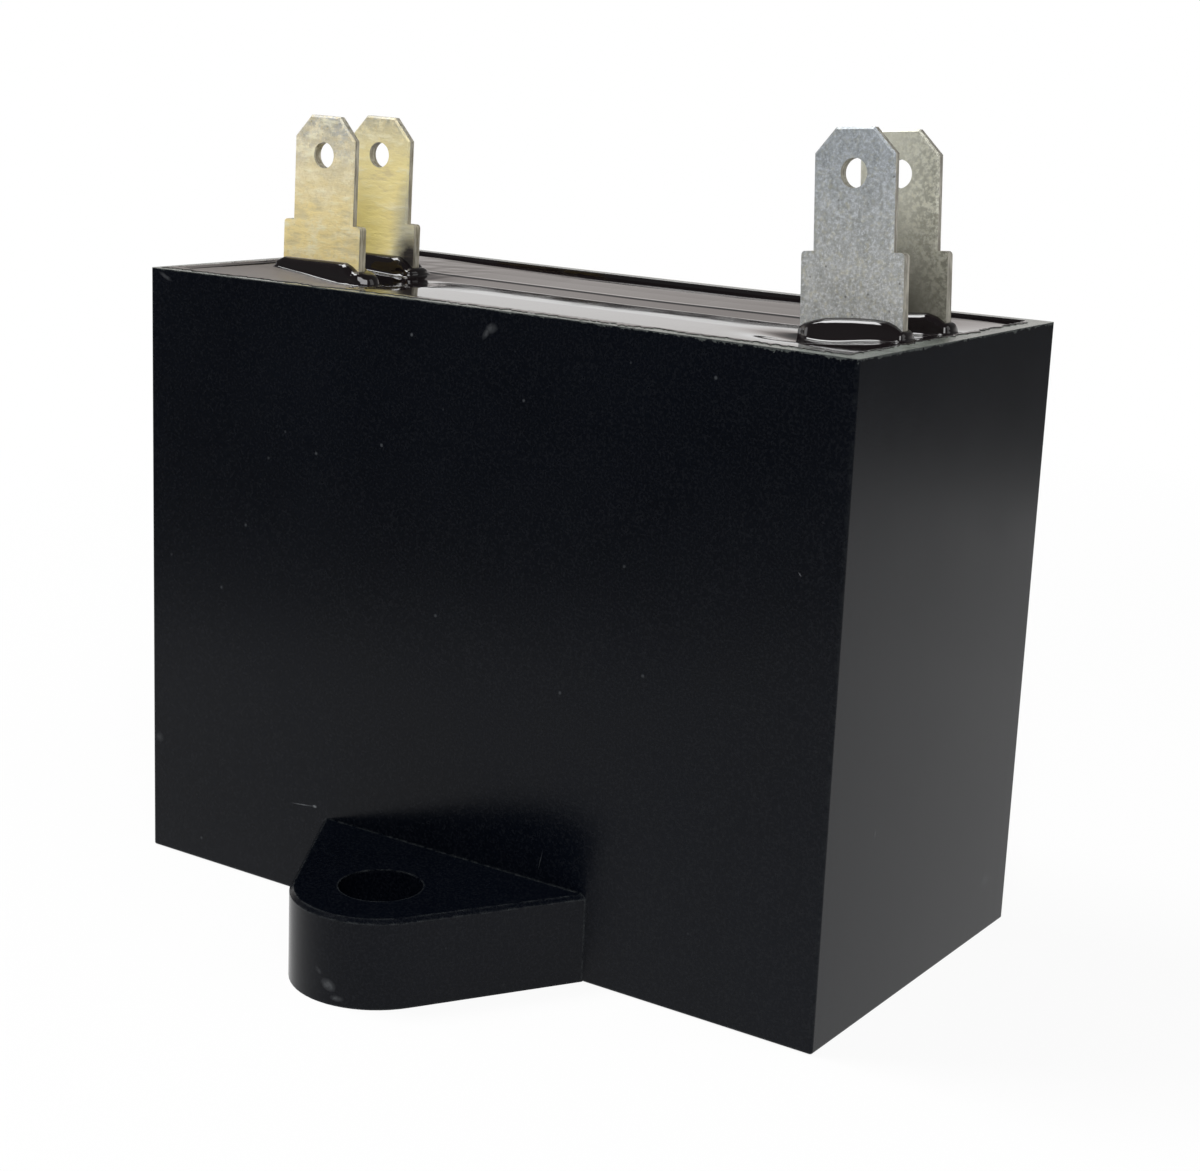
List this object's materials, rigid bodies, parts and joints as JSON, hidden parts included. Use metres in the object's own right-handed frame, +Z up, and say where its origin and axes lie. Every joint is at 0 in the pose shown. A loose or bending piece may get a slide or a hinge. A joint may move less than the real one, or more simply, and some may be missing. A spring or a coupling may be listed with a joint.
{
  "type": "motor run capacitor",
  "caption": "Resin-potted plastic box capacitor for running a motor, with double push-on terminals at each end and a screw ear at the foot.",
  "frame": {"origin": "centre of the case's rectangular underside, on the face that it stands on", "axes": "+Z up through the open side of the case and along the blades, X along the case's length with the higher terminal at +X, -Y towards the mounting ear"},
  "size_m": [0.0636, 0.0464, 0.0628],
  "materials": {
    "case_plastic": "moulded, satin",
    "resin": "poured and set, glossy",
    "tinned_sheet": "tin plated, dull and finely mottled",
    "metallised_film": "thin metallised film, wound and pressed",
    "sprayed_zinc": "rough sprayed metal",
    "tinned_strip": "tin plated, rolled",
    "solder": "smooth, set from a melt"
  },
  "bodies": {
    "root": {"case": "case_plastic", "potting_resin": "resin", "film_winding": "metallised_film", "terminal_left": "tinned_sheet", "end_spray_left": "sprayed_zinc", "lead_strip_left": "tinned_strip", "end_joint_left": "solder", "terminal_joint_left": "solder", "terminal_right": "tinned_sheet", "end_spray_right": "sprayed_zinc", "lead_strip_right": "tinned_strip", "end_joint_right": "solder", "terminal_joint_right": "solder"}
  },
  "joints": []
}
